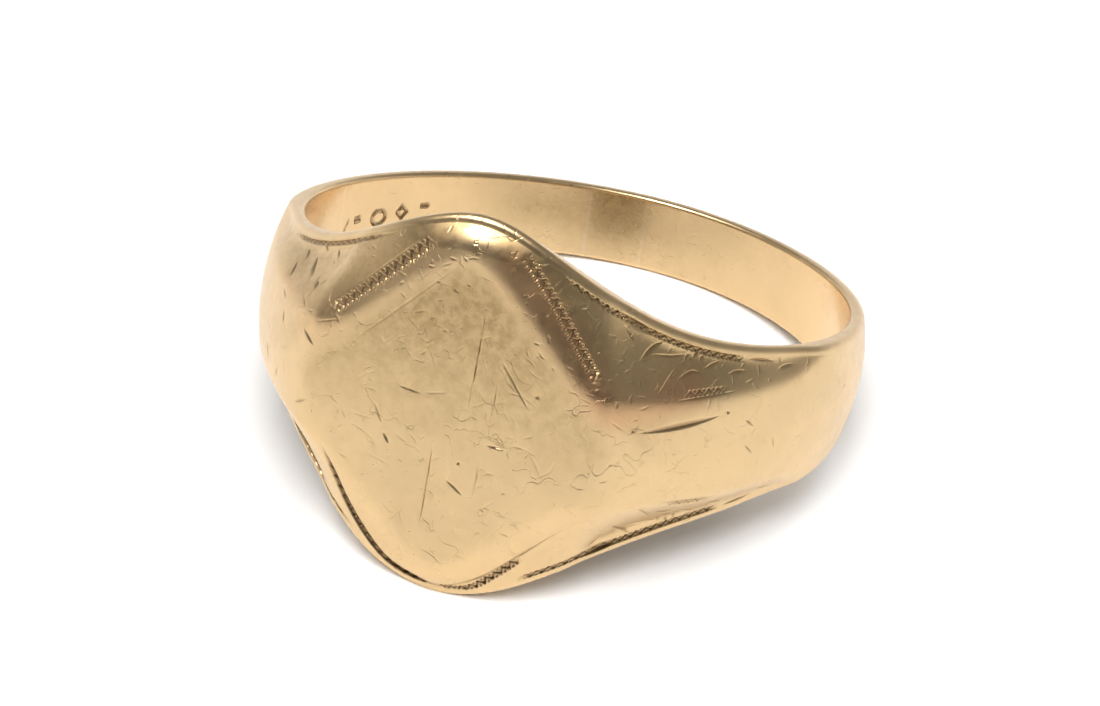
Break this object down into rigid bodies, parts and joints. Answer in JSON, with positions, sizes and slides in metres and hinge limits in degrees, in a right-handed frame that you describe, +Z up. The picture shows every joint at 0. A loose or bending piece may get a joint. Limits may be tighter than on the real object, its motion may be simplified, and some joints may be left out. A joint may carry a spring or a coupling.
{
  "type": "signet ring",
  "caption": "Worn yellow gold signet ring with a plain lozenge table, facet-cut shoulders with hand engraving, and a narrow tapering shank that carries a sizing insert.",
  "frame": {"origin": "centre of the bounding box's underside, at the surface the ring lies on", "axes": "+Z up from that surface; -Y is the side the table faces (the table's normal is tipped up by 14.37 degrees); +X to the right of somebody who looks at the table"},
  "size_m": [0.0198, 0.021, 0.0122],
  "materials": {
    "gold_10k": "worn polish, with a brown patina in the recesses",
    "gold_solder": "polished flush, a little paler than the gold"
  },
  "bodies": {
    "root": {"struck_top": "gold_10k", "shank_left": "gold_10k", "shank_right": "gold_10k", "sizing_insert": "gold_10k", "solder_left_shoulder": "gold_solder", "solder_right_shoulder": "gold_solder", "solder_insert_left": "gold_solder", "solder_insert_right": "gold_solder"}
  },
  "joints": []
}
